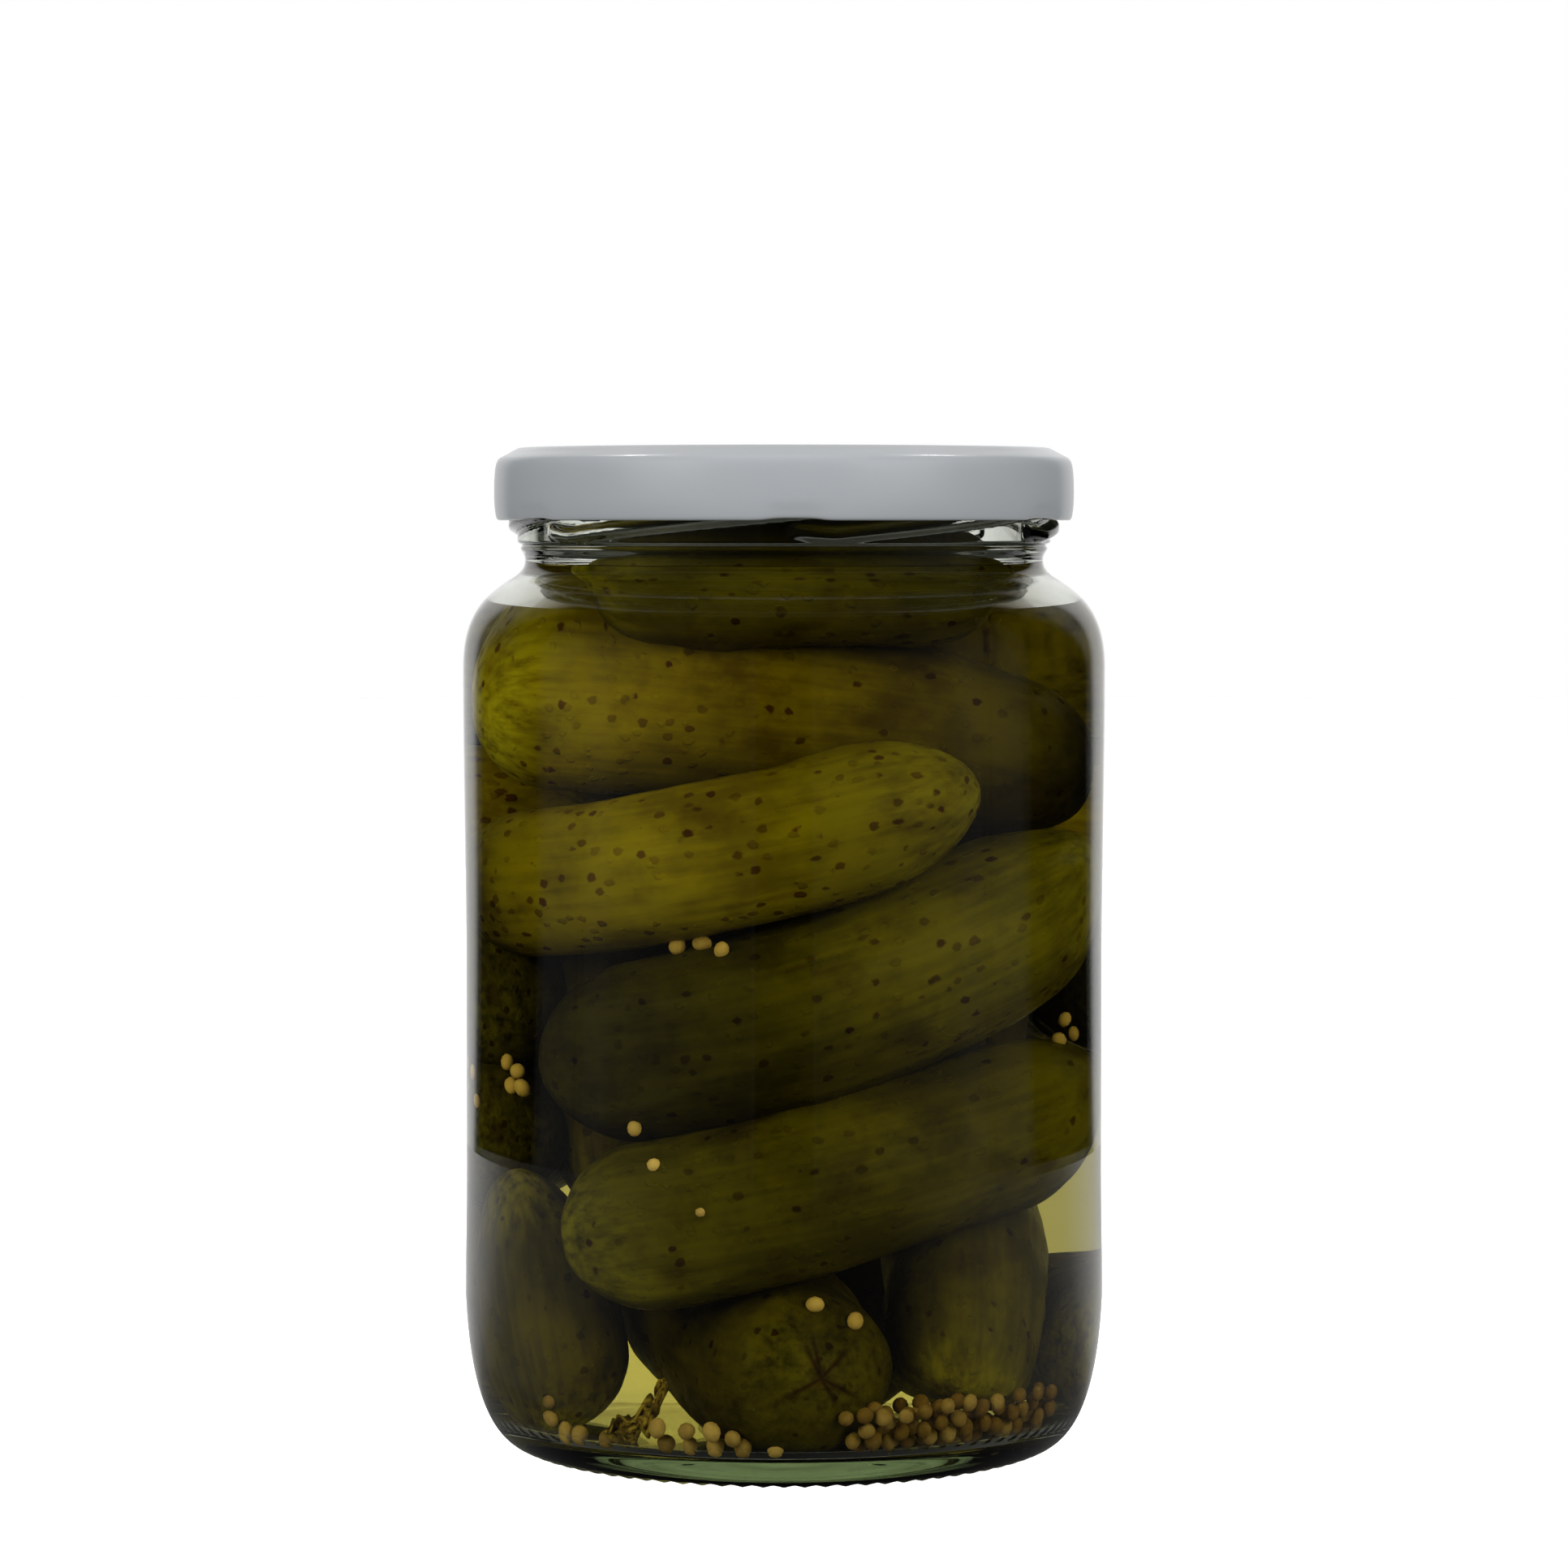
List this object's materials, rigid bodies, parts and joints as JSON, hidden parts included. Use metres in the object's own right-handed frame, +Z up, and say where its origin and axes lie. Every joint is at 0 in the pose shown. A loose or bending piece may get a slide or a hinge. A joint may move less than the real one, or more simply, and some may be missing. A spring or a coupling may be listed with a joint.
{
  "type": "jar of pickled gherkins",
  "caption": "Clear glass jar with a light grey twist-off metal lid, packed with whole pickled gherkins and loose mustard seeds in brine.",
  "frame": {"origin": "centre of the jar's base, in the plane of the ring that it stands on", "axes": "+Z up along the jar's axis; -Y is the front that was pictured, +X is its right"},
  "size_m": [0.0944, 0.0944, 0.1468],
  "materials": {
    "glass": "clear, smooth, with a faint green edge",
    "lid_enamel": "light grey stoved enamel on tinplate, semi-gloss",
    "gherkin_skin": null,
    "mustard_seed": null
  },
  "bodies": {
    "root": {"glass_jar": "glass", "lid": "lid_enamel", "gherkins": "gherkin_skin", "mustard_seeds": "mustard_seed"}
  },
  "joints": []
}
